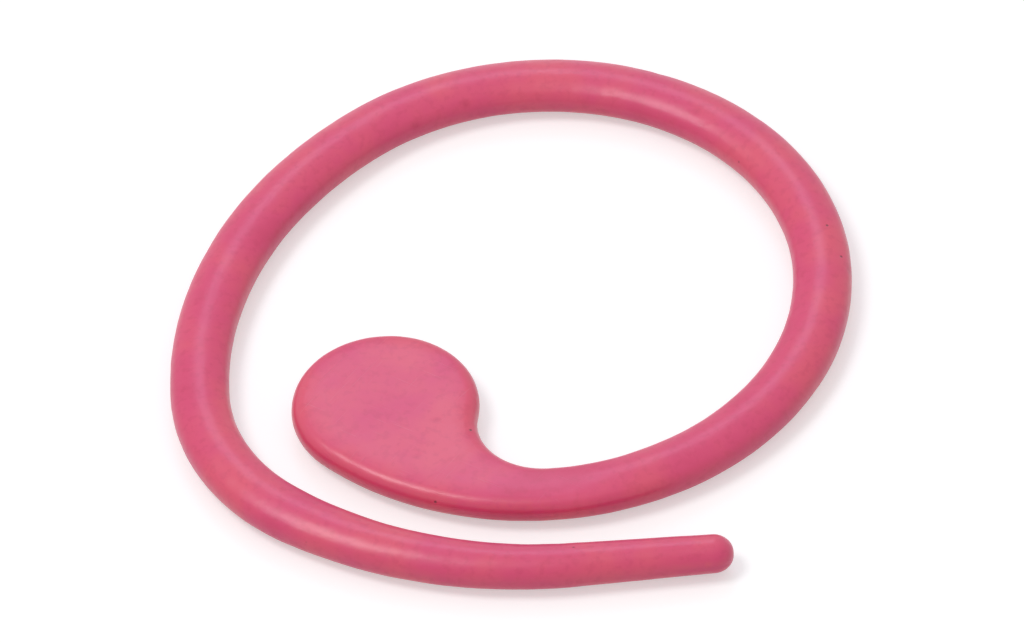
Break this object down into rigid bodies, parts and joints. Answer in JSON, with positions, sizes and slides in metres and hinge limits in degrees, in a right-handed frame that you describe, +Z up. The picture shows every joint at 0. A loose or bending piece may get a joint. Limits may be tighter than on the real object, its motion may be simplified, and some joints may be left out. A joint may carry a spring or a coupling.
{
  "type": "stitch marker",
  "caption": "Open ring stitch marker for knitting: coated steel wire curled into a ring, with a flat drop-shaped paddle inside and a tapered tail that runs on outside.",
  "frame": {"origin": "on the surface that the marker lies on, under the middle of its outer box", "axes": "+Z up out of the flat of the marker, +X towards the tip of the tail, +Y from the tail across the neck to the far side of the ring"},
  "size_m": [0.0182, 0.0194, 0.0012],
  "materials": {
    "steel_wire": "bare drawn steel, blanked and tumbled, hidden under the coat",
    "nylon_coat": "satin-glossy baked nylon coat, raspberry pink"
  },
  "bodies": {
    "root": {"wire_core": "steel_wire", "colour_coat": "nylon_coat"}
  },
  "joints": []
}
